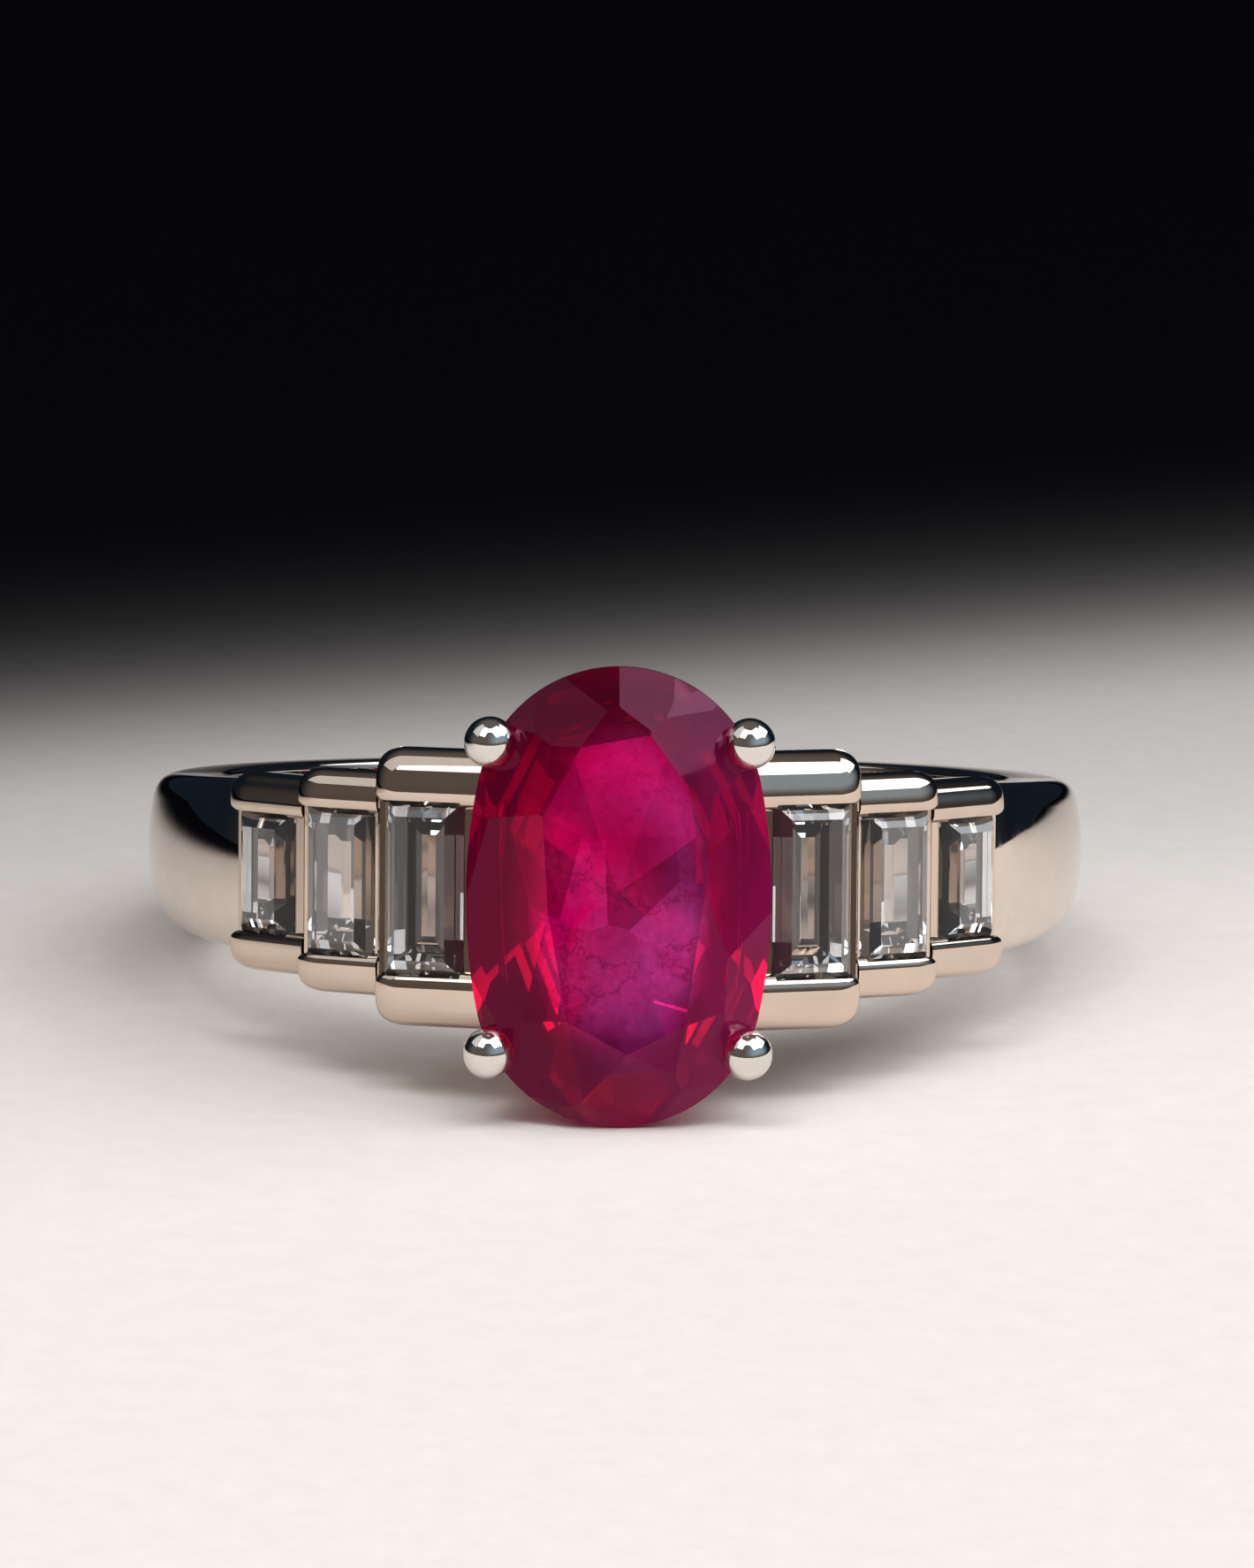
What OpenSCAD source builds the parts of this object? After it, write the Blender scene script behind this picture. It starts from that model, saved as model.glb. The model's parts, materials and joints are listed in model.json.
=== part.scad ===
// Cocktail ring: a ruby in four claws between stepped baguette shoulders.
// Millimetres. Built about the finger axis, then laid down on its side.

/* [Finger band] */
// Finger hole diameter
bore_d = 17.0; // [14:0.1:22]
// Band thickness on its crown
band_t = 1.7; // [1.2:0.1:2.6]
// Radius of the band's domed outside
band_dome = 5.0; // [2:0.1:8]
// Half width of the band where the shoulders start
band_half_shoulder = 1.9; // [1.2:0.05:2.4]
// Half width of the band at its sides
band_half_side = 1.5; // [1:0.05:2.2]
// Half width of the band at the back
band_half_back = 1.15; // [0.8:0.05:2]
// Thickness of the shoulder plates under the collets
plate_t = 0.7; // [0.5:0.05:1.2]
// Angle from the front where the plates start
plate_from = 11.5; // [8:0.5:16]
// Angle from the front where the domed band starts
band_from = 51.1; // [48:0.1:56]

/* [Ruby] */
// Width across the finger
ruby_w = 6.26; // [4:0.02:9]
// Length along the finger
ruby_l = 9.45; // [6:0.05:12]
// Radius of the rounded ends
ruby_end_r = 2.95; // [2:0.05:4]
// Height of the girdle above the finger axis
girdle_h = 12.0; // [10:0.1:15]
// Girdle thickness
girdle_t = 0.2; // [0.05:0.01:0.4]
// Crown height
crown_h = 1.05; // [0.6:0.05:1.8]
// Pavilion depth
pavilion_h = 2.55; // [1.5:0.05:3.5]
// Table width
table_w = 3.76; // [2:0.02:5]
// Table length
table_l = 6.6; // [3:0.05:8]

/* [Setting] */
// Claw wire radius
claw_r = 0.43; // [0.3:0.01:0.6]
// Claw bead radius
bead_r = 0.53; // [0.4:0.01:0.8]
// Distance of a bead's centre outside the girdle
bead_out = 0.05; // [-0.2:0.01:0.3]
// Angle of a claw round the ruby's end, from the width axis
claw_turn = 28; // [15:1:60]
// Height of a bead's centre above the girdle
bead_rise = 0.36; // [0.2:0.01:0.5]
// Depth below the girdle at which a claw's wire starts
claw_foot = 3.0; // [2.8:0.05:3.4]
// Lean of a claw, sideways for each millimetre of depth
claw_lean = 0.33; // [0.2:0.01:0.5]
// Gallery rail thickness
rail_t = 0.60; // [0.3:0.01:0.9]
// Gallery rail height
rail_h = 0.62; // [0.3:0.01:1]
// Depth of the upper rail below the girdle
rail_upper = 1.25; // [0.8:0.05:1.6]
// Depth of the lower rail below the girdle
rail_lower = 2.7; // [2.2:0.05:3]

/* [Shoulders] */
// Angles of the three steps from the front
step_turn = [21.0, 32.7, 45.6]; // [15:0.1:50]
// Height of each step's face above the finger axis
step_face = [11.5, 11.0, 10.6]; // [10:0.1:13]
// Width of each collet
step_w = [2.14, 1.98, 2.02]; // [1.5:0.02:3]
// Height of each collet along the finger
step_h = [5.80, 4.70, 4.20]; // [3:0.05:7]
// Radius of each collet's rounded end bars
bar_r = [0.61, 0.44, 0.44]; // [0.3:0.01:0.8]
// Width of each baguette
stone_w = [1.75, 1.68, 1.62]; // [1:0.01:2.5]
// Length of each baguette
stone_l = [3.62, 3.08, 2.56]; // [2:0.02:5]
// Rounding of the collets' outer corners
corner_r = 0.40; // [0.1:0.05:0.6]
// Height of the end bars above the baguettes' girdles
girdle_drop = 0.35; // [0.2:0.05:0.6]
// Baguette crown height
stone_crown = 0.30; // [0.1:0.05:0.5]
// Baguette pavilion depth
stone_pavilion = 0.92; // [0.5:0.02:1.2]
// Width of the pierced window behind each baguette
window_w = 0.9; // [0.5:0.05:1.2]
// Depth of the windows' tops below the collets' faces
window_top = 0.7; // [0.6:0.05:1]
// Metal left at each end of a window, measured from the baguette's end
window_end = 0.6; // [0.4:0.05:0.9]

/* [Hidden] */
bore_r = bore_d / 2;
band_r = bore_r + band_t;
plate_r = bore_r + plate_t;
seat_gap = 0.01;
steps = [0, 1, 2];

// Longer than anything in the ring; and how far a cut or a joint runs past where it is needed.
far = 30;
past = 0.5;

// The band's plan: it widens a little in front of the knee, where the shoulders start.
knee_y = -6.4;
flare = 0.2;
half_past = band_half_side + (band_half_back - band_half_side) * (band_r + past) / band_r;
plate_half = band_half_shoulder - 0.08;
plate_lap = 1.5;

// The ruby's outline is four arcs: two ends about (0, end_c), two sides about (side_c, 0).
half_w = ruby_w / 2;
end_c = ruby_l / 2 - ruby_end_r;
side_gap = half_w - ruby_end_r;
side_c = (end_c * end_c - side_gap * side_gap) / (2 * side_gap);
side_r = half_w + side_c;
join_turn = atan2(end_c, side_c);

// How deep the claws' wires bite into the gallery rails.
rail_bite = 0.05;

// Slopes of the ruby's star and break facets.
star_slope = 24;
break_slope = 42;

// How much steeper the lower facets are than a line to the keel.
lower_extra = 5;

// Boundaries between neighbouring steps, as angles from the front, and the inner collets' inner faces.
split_0 = 10;
split_1 = 27.0;
split_2 = 38.2;
inner_x = 2.72;

// A collet's foot: its height above the finger, and its half width along the finger.
foot_h = 8.2;
foot_half = 2.05;
foot_step = 0.15;

// A baguette's steps, as distances in from its girdle and shares of its pavilion's depth.
keel_inset = 0.72;
lower_inset = 0.44;
lower_share = 0.76;
upper_inset = 0.19;
upper_share = 0.42;
crown_inset = 0.12;
crown_rise = 0.16;
table_inset = 0.32;
girdle_up = 0.02;
girdle_down = 0.06;

// The lay of the ring on its side: the girdle's end and the band's back edge touch the table.
back_edge_y = band_r - band_dome + sqrt(pow(band_dome, 2) - pow(band_half_back, 2));
girdle_back = girdle_h - girdle_t / 2;
lay = atan2(ruby_l / 2 - band_half_back, girdle_back + back_edge_y);
lift = ruby_l / 2 * cos(lay) - girdle_back * sin(lay);
centre_y = 1.69;

$fn = 96;

// How far the ruby's outline reaches in a direction, from its centre.
function reach(turn) =
    abs(cos(turn)) > cos(join_turn)
        ? side_r - side_c * abs(cos(turn))
        : ruby_end_r + end_c * abs(sin(turn));

// The outline's normal at an angle round an oval of the same width and length.
function normal_turn(a) = atan2(half_w * sin(a), ruby_l / 2 * cos(a));

// A corner of the table, and how far it reaches in a direction.
function corner(a) = [table_w / 2 * cos(a), table_l / 2 * sin(a)];
function along(p, turn) = p[0] * cos(turn) + p[1] * sin(turn);
function edge_turn(a) =
    atan2(corner(a)[0] - corner(a + 45)[0], corner(a + 45)[1] - corner(a)[1]);

// Puts a finished piece down on its side.
module laid() {
    translate([0, centre_y, lift])
        rotate([-lay, 0, 0])
            children();
}

// Turns a drawing from the flat to the front of the ring, at a height above the finger axis.
module at_front(h) {
    translate([0, -h, 0])
        rotate([90, 0, 0])
            children();
}

module other_side(left) {
    if (left) {
        mirror([1, 0, 0])
            children();
    } else {
        children();
    }
}

module at_step(i, left) {
    other_side(left)
        rotate([0, 0, step_turn[i]])
            children();
}

// ---- Band ----

module domed_section() {
    intersection() {
        translate([band_r - band_dome, 0])
            circle(r = band_dome);
        translate([bore_r, -band_dome])
            square([band_t + past, 2 * band_dome]);
    }
}

module taper_side() {
    rotate([90, 0, 90])
        linear_extrude(height = far, center = true)
            polygon([
                [-band_r, -band_half_shoulder - flare],
                [knee_y, -band_half_shoulder],
                [0, -band_half_side],
                [band_r + past, -half_past],
                [band_r + past, half_past],
                [0, band_half_side],
                [knee_y, band_half_shoulder],
                [-band_r, band_half_shoulder + flare]
            ]);
}

module plate() {
    rotate([0, 0, plate_from - 90])
        rotate_extrude(angle = band_from - plate_from + plate_lap)
            translate([bore_r, -plate_half])
                square([plate_t, 2 * plate_half]);
}

module shank() {
    color([0.86, 0.85, 0.83])
        laid()
            difference() {
                union() {
                    intersection() {
                        rotate([0, 0, band_from - 90])
                            rotate_extrude(angle = 360 - 2 * band_from)
                                domed_section();
                        taper_side();
                    }
                    for (left = [false, true])
                        other_side(left)
                            plate();
                }
                for (left = [false, true], i = steps)
                    at_step(i, left)
                        light_window(i);
            }
}

// ---- Shoulders ----

// The pierced window behind a baguette, from its keel to the finger.
module light_window(i) {
    run = step_face[i] - window_top - bore_r + past;
    tall = stone_l[i] - 2 * window_end;
    translate([-window_w / 2, -step_face[i] + window_top, -tall / 2])
        cube([window_w, run, tall]);
}

// Side view of a collet, height above the finger axis against distance along the finger.
module collet_side(i) {
    bar_z = step_h[i] / 2 - bar_r[i];
    bar_y = step_face[i] - bar_r[i];
    base_y = foot_h + bar_r[i];
    base_z = min(foot_half, step_h[i] / 2 - foot_step);
    for (s = [-1, 1])
        translate([-bar_y, s * bar_z])
            circle(r = bar_r[i]);
    translate([-step_face[i] + girdle_drop, -bar_z])
        square([1, 2 * bar_z]);
    polygon([
        [-bar_y, -step_h[i] / 2],
        [-base_y, -base_z],
        [-base_y, base_z],
        [-bar_y, step_h[i] / 2]
    ]);
}

// Front view of a collet: rounded on its outer corners, square where it meets its neighbour.
module collet_front(i) {
    w = step_w[i] / 2;
    h = step_h[i] / 2;
    translate([-w - past, -h])
        square([2 * w + past - corner_r, 2 * h]);
    translate([w - corner_r - seat_gap, -h + corner_r])
        square([corner_r + seat_gap, 2 * h - 2 * corner_r]);
    for (s = [-1, 1])
        translate([w - corner_r, s * (h - corner_r)])
            circle(r = corner_r);
}

// A wedge between two angles from the front.
module sector(from, to) {
    linear_extrude(height = far, center = true)
        polygon([
            [0, 0],
            [far * sin(from), -far * cos(from)],
            [far * sin(to), -far * cos(to)]
        ]);
}

module collet(i, left) {
    color([0.88, 0.87, 0.85])
        laid()
            difference() {
                other_side(left)
                    intersection() {
                        rotate([0, 0, step_turn[i]])
                            intersection() {
                                rotate([90, 0, 90])
                                    linear_extrude(height = far, center = true)
                                        collet_side(i);
                                rotate([90, 0, 0])
                                    linear_extrude(height = far)
                                        collet_front(i);
                            }
                        if (i == 0) {
                            sector(split_0, split_1);
                            translate([inner_x, -far, -far / 2])
                                cube([far, far, far]);
                        }
                        if (i == 1)
                            sector(split_1, split_2);
                        if (i == 2)
                            sector(split_2, band_from);
                    }
                cylinder(r = plate_r, h = far, center = true);
                at_step(i, left) {
                    baguette_shape(i, seat_gap);
                    light_window(i);
                }
                if (i == 0)
                    for (up = [-1, 1])
                        claw_wire(left ? -1 : 1, up);
            }
}

// A step-cut stone: two crossing profiles, flat faces throughout.
module baguette_shape(i, gap) {
    top = step_face[i] - girdle_drop + stone_crown;
    rotate([90, 0, 0])
        intersection() {
            rotate([90, 0, 0])
                linear_extrude(height = far, center = true)
                    step_profile(stone_w[i] / 2 + gap, top, gap);
            rotate([90, 0, 90])
                linear_extrude(height = far, center = true)
                    step_profile(stone_l[i] / 2 + gap, top, gap);
        }
}

// Outline of a step cut: table, two crown steps, girdle, three pavilion steps.
module step_profile(half, top, gap) {
    g = top - stone_crown;
    d = stone_pavilion + gap;
    right = [
        [half - keel_inset, g - d],
        [half - lower_inset, g - d * lower_share],
        [half - upper_inset, g - d * upper_share],
        [half, g - girdle_down - gap],
        [half, g + girdle_up],
        [half - crown_inset, g + crown_rise],
        [half - table_inset, top + gap]
    ];
    left = [for (k = [len(right) - 1 : -1 : 0]) [-right[k][0], right[k][1]]];
    polygon(concat(right, left));
}

module baguette(i, left) {
    color([0.90, 0.94, 0.97, 0.6])
        laid()
            at_step(i, left)
                baguette_shape(i, 0);
}

// ---- Ruby setting ----

module ruby_outline(gap) {
    for (s = [-1, 1])
        translate([0, s * end_c])
            circle(r = ruby_end_r + gap);
    intersection() {
        translate([-side_c, 0])
            circle(r = side_r + gap, $fn = 360);
        translate([side_c, 0])
            circle(r = side_r + gap, $fn = 360);
        square([2 * ruby_w, 2 * (side_r + gap) * sin(join_turn)], center = true);
    }
}

// Every facet is [direction, distance from the axis, height there, slope, side].
// The side is 1 above the girdle and -1 below it.
main_facets = [
    for (a = [0 : 45 : 315])
        let (turn = normal_turn(a), out = reach(turn))
            [turn, out, girdle_t / 2, atan2(crown_h, out - along(corner(a), turn)), 1]
];
star_facets = [
    for (a = [0 : 45 : 315])
        let (turn = edge_turn(a))
            [turn, along(corner(a), turn), girdle_t / 2 + crown_h, star_slope, 1]
];
break_facets = [
    for (a = [11.25 : 22.5 : 350])
        let (turn = normal_turn(a))
            [turn, reach(turn), girdle_t / 2, break_slope, 1]
];
keel_facets = [
    for (a = [0 : 45 : 315])
        let (turn = normal_turn(a), out = reach(turn))
            [turn, out, girdle_t / 2, atan2(pavilion_h - girdle_t / 2, out), -1]
];
lower_facets = [
    for (a = [11.25 : 22.5 : 350])
        let (turn = normal_turn(a), out = reach(turn))
            [turn, out, girdle_t / 2, atan2(pavilion_h, out) + lower_extra, -1]
];
all_facets = concat(main_facets, star_facets, break_facets, keel_facets, lower_facets);
claw_facets = [main_facets[1], keel_facets[1]];

// Removes everything beyond a flat facet that leans back from the outline.
module facet(f, gap) {
    mirror([0, 0, f[4] < 0 ? 1 : 0])
        rotate([0, 0, f[0]])
            translate([f[1] + gap, 0, f[2]])
                rotate([0, f[3] - 90, 0])
                    translate([0, -far / 2, -far / 2])
                        cube([far, far, far]);
}

module rough_ruby(gap) {
    translate([0, 0, -pavilion_h - past])
        linear_extrude(height = pavilion_h + past + girdle_t / 2 + crown_h + gap)
            ruby_outline(gap);
}

// The stone is ground one facet at a time, in its own frame: table up, girdle's middle at zero.
module ground(facets, n, gap) {
    if (n == 0) {
        rough_ruby(gap);
    } else {
        difference() {
            ground(facets, n - 1, gap);
            facet(facets[n - 1], gap);
        }
    }
}

module centre_ruby() {
    color([0.72, 0.02, 0.24, 0.8])
        laid()
            at_front(girdle_h)
                ground(all_facets, len(all_facets), 0);
}

// Where a claw's axis is at a depth below the girdle, in the ruby's own frame.
function claw_reach(depth) = ruby_end_r + bead_out - claw_lean * (depth + bead_rise);
function claw_at(depth) =
    [claw_reach(depth) * cos(claw_turn), end_c + claw_reach(depth) * sin(claw_turn), -depth];

// Puts a form that stands on the origin along a claw's axis.
module at_claw(side, up) {
    bead = claw_at(-bead_rise);
    foot = claw_at(claw_foot);
    away = atan2(bead[1] - foot[1], bead[0] - foot[0]);
    tip = acos((bead[2] - foot[2]) / norm(bead - foot));
    at_front(girdle_h)
        mirror([side < 0 ? 1 : 0, 0, 0])
            mirror([0, up < 0 ? 1 : 0, 0])
                translate(foot)
                    rotate([0, tip, away])
                        children();
}

module claw_wire(side, up) {
    at_claw(side, up)
        cylinder(r = claw_r, h = norm(claw_at(-bead_rise) - claw_at(claw_foot)));
}

// Half section of a claw: a round wire that ends in a bead.
module claw_section() {
    run = norm(claw_at(-bead_rise) - claw_at(claw_foot));
    square([claw_r, run]);
    intersection() {
        translate([0, run])
            circle(r = bead_r);
        translate([0, run - bead_r])
            square([bead_r, 2 * bead_r]);
    }
}

module claw(side, up) {
    color([0.88, 0.87, 0.85])
        laid()
            difference() {
                at_claw(side, up)
                    rotate_extrude()
                        claw_section();
                at_front(girdle_h)
                    mirror([side < 0 ? 1 : 0, 0, 0])
                        mirror([0, up < 0 ? 1 : 0, 0])
                            ground(claw_facets, len(claw_facets), seat_gap);
                cylinder(r = plate_r, h = far, center = true);
            }
}

// An oval strip parallel to the ruby's outline, set in from it.
module oval_rail(inset) {
    translate([0, 0, -rail_h / 2])
        linear_extrude(height = rail_h)
            difference() {
                ruby_outline(-inset + rail_t / 2);
                ruby_outline(-inset - rail_t / 2);
            }
}

module gallery_rail(depth) {
    inset = ruby_end_r - claw_reach(depth) + claw_r - rail_bite;
    color([0.84, 0.83, 0.81])
        laid()
            difference() {
                at_front(girdle_h - depth)
                    oval_rail(inset);
                for (side = [-1, 1], up = [-1, 1])
                    claw_wire(side, up);
                cylinder(r = plate_r, h = far, center = true);
            }
}

shank();
gallery_rail(rail_lower);  // lower_gallery_rail
gallery_rail(rail_upper);  // upper_gallery_rail
claw(-1, 1);  // claw_upper_left
claw(1, 1);  // claw_upper_right
claw(-1, -1);  // claw_lower_left
claw(1, -1);  // claw_lower_right
collet(0, true);  // left_inner_collet
collet(1, true);  // left_middle_collet
collet(2, true);  // left_outer_collet
collet(0, false);  // right_inner_collet
collet(1, false);  // right_middle_collet
collet(2, false);  // right_outer_collet
baguette(0, true);  // left_inner_baguette
baguette(1, true);  // left_middle_baguette
baguette(2, true);  // left_outer_baguette
baguette(0, false);  // right_inner_baguette
baguette(1, false);  // right_middle_baguette
baguette(2, false);  // right_outer_baguette
centre_ruby();
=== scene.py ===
"""Cocktail ring: a ruby in four claws between stepped baguette shoulders, laid on its side."""

import json
import math

import bmesh
import bpy
from mathutils import Matrix, Vector


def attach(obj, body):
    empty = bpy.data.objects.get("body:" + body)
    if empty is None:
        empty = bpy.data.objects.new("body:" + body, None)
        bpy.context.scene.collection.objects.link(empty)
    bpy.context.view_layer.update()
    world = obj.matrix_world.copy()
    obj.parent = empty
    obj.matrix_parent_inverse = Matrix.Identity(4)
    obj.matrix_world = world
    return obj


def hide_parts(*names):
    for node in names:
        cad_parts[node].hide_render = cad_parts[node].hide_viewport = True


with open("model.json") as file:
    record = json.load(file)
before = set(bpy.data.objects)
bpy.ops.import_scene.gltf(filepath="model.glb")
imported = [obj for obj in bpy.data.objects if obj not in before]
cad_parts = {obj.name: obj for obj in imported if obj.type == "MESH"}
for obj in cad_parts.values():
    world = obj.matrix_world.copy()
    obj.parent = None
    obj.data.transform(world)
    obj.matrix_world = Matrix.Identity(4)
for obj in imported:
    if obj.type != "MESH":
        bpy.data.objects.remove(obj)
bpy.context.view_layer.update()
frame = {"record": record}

# ---- The ring's own frame: millimetres, finger axis Z, ruby facing -Y ----

MM = 0.001
bore = frame["record"]["mounts"][0]
RING_Z = Vector(bore["axis"]).normalized()
RING_X = Vector((1.0, 0.0, 0.0))
RING_Y = RING_Z.cross(RING_X)
LAID = Matrix.Translation(bore["pos_m"]) @ Matrix((RING_X, RING_Y, RING_Z)).transposed().to_4x4()
RING = LAID @ Matrix.Scale(MM, 4)

# Band
BORE_R = 8.5
BAND_R = 10.2
DOME_R = 5.0
PLATE_R = 9.2
PLATE_FROM = 11.5
BAND_FROM = 51.1
PLATE_HALF = 1.82
PLATE_LAP = 1.5
BAND_MID = 9.4
BAND_LAP = 0.3
BAND_SOFT = 0.42
BORE_SOFT = 0.16
BAND_WIDTHS = ((-10.2, 2.1), (-6.4, 1.9), (0.0, 1.5), (10.7, 1.13))

# Ruby
RUBY_W = 6.26
RUBY_L = 9.45
END_R = 2.95
GIRDLE_H = 12.0
GIRDLE_T = 0.2
CROWN_H = 1.05
PAVILION_H = 2.55
STAR_SLOPE = 24
BREAK_SLOPE = 42
LOWER_EXTRA = 5
RUBY_CENTRE = RING @ Vector((0, -GIRDLE_H, 0))

# Claws and rails
CLAW_R = 0.43
BEAD_R = 0.53
BEAD_OUT = 0.05
CLAW_TURN = 28
BEAD_RISE = 0.36
CLAW_FOOT = 3.0
CLAW_LEAN = 0.33
RAIL_T = 0.60
RAIL_H = 0.62
RAIL_BITE = 0.05
RAILS = {"upper_gallery_rail": 1.25, "lower_gallery_rail": 2.7}

# Shoulders: inner, middle, outer
STEPS = ("inner", "middle", "outer")
STEP_TURN = (21.0, 32.7, 45.6)
STEP_FACE = (11.5, 11.0, 10.6)
STEP_W = (2.14, 1.98, 2.02)
STEP_H = (5.80, 4.70, 4.20)
BAR_R = (0.61, 0.44, 0.44)
STONE_W = (1.75, 1.68, 1.62)
STONE_L = (3.62, 3.08, 2.56)
SPLITS = (27.0, 38.2, 51.1)
INNER_X = 2.72
CORNER_R = 0.40
GIRDLE_DROP = 0.35
STONE_CROWN = 0.30
STONE_PAVILION = 0.92
WINDOW_W = 0.9
WINDOW_END = 0.6

# Collet feet, just inside the plates
FOOT = 9.1
FOOT_FROM = 8.2
FOOT_HALF = 2.05
FOOT_STEP = 0.15

# A small bevel on the collets' tops and the claws' lower ends
EASE = 0.06

# Gaps and steps too small to see, which keep two faces from lying in one plane
SEAT_GAP = 0.012
SETBACK = 0.008
FLUSH = 0.005


def sind(a):
    return math.sin(math.radians(a))


def cosd(a):
    return math.cos(math.radians(a))


def mix(a, b, t):
    return a + (b - a) * t


# ---- Mesh helpers ----


def shell(rings, closed=False):
    """Skins equal rings of points, in order, into a closed shell."""
    bm = bmesh.new()
    rows = [[bm.verts.new(p) for p in ring] for ring in rings]
    pairs = list(zip(rows, rows[1:]))
    if closed:
        pairs.append((rows[-1], rows[0]))
    for a, b in pairs:
        for i in range(len(a)):
            j = (i + 1) % len(a)
            bm.faces.new((a[i], a[j], b[j], b[i]))
    if not closed:
        bm.faces.new(rows[0][::-1])
        bm.faces.new(rows[-1])
    bmesh.ops.remove_doubles(bm, verts=bm.verts, dist=1e-4)
    bmesh.ops.recalc_face_normals(bm, faces=bm.faces)
    return bm


def thing(name, bm):
    """A scratch object that holds a mesh for the Boolean tools."""
    mesh = bpy.data.meshes.new(name)
    bm.to_mesh(mesh)
    bm.free()
    obj = bpy.data.objects.new(name, mesh)
    bpy.context.scene.collection.objects.link(obj)
    return obj


def boolean(target, tools, operation):
    """Unites target with tools or cuts them out of it, and removes the tools."""
    for tool in tools:
        modifier = target.modifiers.new("boolean", "BOOLEAN")
        modifier.operation = operation
        modifier.solver = "EXACT"
        modifier.object = tool
    settled = target.evaluated_get(bpy.context.evaluated_depsgraph_get())
    mesh = bpy.data.meshes.new_from_object(settled)
    target.modifiers.clear()
    target.data = mesh
    for tool in tools:
        bpy.data.objects.remove(tool)


def keep_side(bm, point, normal):
    """Cuts a convex shell with a plane, drops what lies beyond it and closes the cut."""
    cut = bmesh.ops.bisect_plane(
        bm,
        geom=bm.verts[:] + bm.edges[:] + bm.faces[:],
        dist=1e-5,
        plane_co=point,
        plane_no=normal,
        clear_outer=True,
    )
    edges = [e for e in cut["geom_cut"] if isinstance(e, bmesh.types.BMEdge)]
    if len(edges) > 2:
        bmesh.ops.contextual_create(bm, geom=edges)


def beyond(point, normal):
    """A block that fills everything past a plane."""
    size = 40
    bm = bmesh.new()
    bmesh.ops.create_cube(bm, size=size)
    facing = Vector(normal).to_track_quat("Z", "Y").to_matrix().to_4x4()
    place = Matrix.Translation(point) @ facing @ Matrix.Translation((0, 0, size / 2))
    bmesh.ops.transform(bm, matrix=place, verts=bm.verts)
    return bm


def mirrored(bm):
    """Turns a right-hand shell into its left-hand twin."""
    bmesh.ops.scale(bm, vec=(-1, 1, 1), verts=bm.verts)
    bmesh.ops.reverse_faces(bm, faces=bm.faces)


def finished(obj, node, material, crease):
    """Puts a piece drawn in the ring's frame where its CAD node is, and takes its place."""
    mesh = obj.data
    obj.name = node + "_fine"
    mesh.name = obj.name
    bm = bmesh.new()
    bm.from_mesh(mesh)
    bmesh.ops.remove_doubles(bm, verts=bm.verts, dist=2e-4)
    bmesh.ops.dissolve_degenerate(bm, edges=bm.edges, dist=1e-4)
    bmesh.ops.recalc_face_normals(bm, faces=bm.faces)
    for face in bm.faces:
        face.smooth = crease > 0
    bm.to_mesh(mesh)
    bm.free()
    mesh.transform(RING)
    if crease > 0:
        mesh.set_sharp_from_angle(angle=math.radians(crease))
    mesh.materials.clear()
    mesh.materials.append(material)
    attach(obj, "root")
    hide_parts(node)


# ---- Materials ----


def node_material(name):
    material = bpy.data.materials.new(name)
    material.use_nodes = True
    tree = material.node_tree
    surface = tree.nodes["Principled BSDF"]
    return material, tree, surface


def math_node(tree, operation, *values):
    """One arithmetic node; each value is a number or another node's output."""
    node = tree.nodes.new("ShaderNodeMath")
    node.operation = operation
    for k, value in enumerate(values):
        if isinstance(value, (int, float)):
            node.inputs[k].default_value = value
        else:
            tree.links.new(value, node.inputs[k])
    return node.outputs[0]


def noise(tree, scale, detail=3.0, rough=0.55, stretch=(1, 1, 1)):
    """Noise in object space; scale is in features per millimetre."""
    place = tree.nodes.new("ShaderNodeTexCoord")
    mapping = tree.nodes.new("ShaderNodeMapping")
    texture = tree.nodes.new("ShaderNodeTexNoise")
    mapping.inputs["Scale"].default_value = [s / MM for s in stretch]
    texture.inputs["Scale"].default_value = scale
    texture.inputs["Detail"].default_value = detail
    texture.inputs["Roughness"].default_value = rough
    tree.links.new(place.outputs["Object"], mapping.inputs["Vector"])
    tree.links.new(mapping.outputs["Vector"], texture.inputs["Vector"])
    return texture.outputs["Fac"]


def ramp(tree, value, low, high, dark, light):
    """Maps a value between low and high onto two colours or greys."""
    node = tree.nodes.new("ShaderNodeValToRGB")
    node.color_ramp.elements[0].position = low
    node.color_ramp.elements[1].position = high
    node.color_ramp.elements[0].color = (*dark, 1.0)
    node.color_ramp.elements[1].color = (*light, 1.0)
    tree.links.new(value, node.inputs["Fac"])
    return node.outputs["Color"]


def grey(value):
    return (value, value, value)


def levels(tree, value, stops):
    """A grey that follows (value, grey) stops along a smooth curve."""
    first, last = stops[0][0], stops[-1][0]
    spread = tree.nodes.new("ShaderNodeMapRange")
    spread.inputs["From Min"].default_value = first
    spread.inputs["From Max"].default_value = last
    tree.links.new(value, spread.inputs["Value"])
    node = tree.nodes.new("ShaderNodeValToRGB")
    node.color_ramp.interpolation = "B_SPLINE"
    elements = node.color_ramp.elements
    for k, (place, level) in enumerate(stops):
        position = (place - first) / (last - first)
        stop = elements[k] if k < 2 else elements.new(position)
        stop.position = position
        stop.color = (*grey(level), 1.0)
    tree.links.new(spread.outputs["Result"], node.inputs["Fac"])
    return node.outputs["Color"]


def eased(tree, value, low, high):
    """0 below one value and 1 above the other, with a smooth step between them."""
    node = tree.nodes.new("ShaderNodeMapRange")
    node.interpolation_type = "SMOOTHSTEP"
    node.inputs["From Min"].default_value = low
    node.inputs["From Max"].default_value = high
    tree.links.new(value, node.inputs["Value"])
    return node.outputs["Result"]


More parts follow.
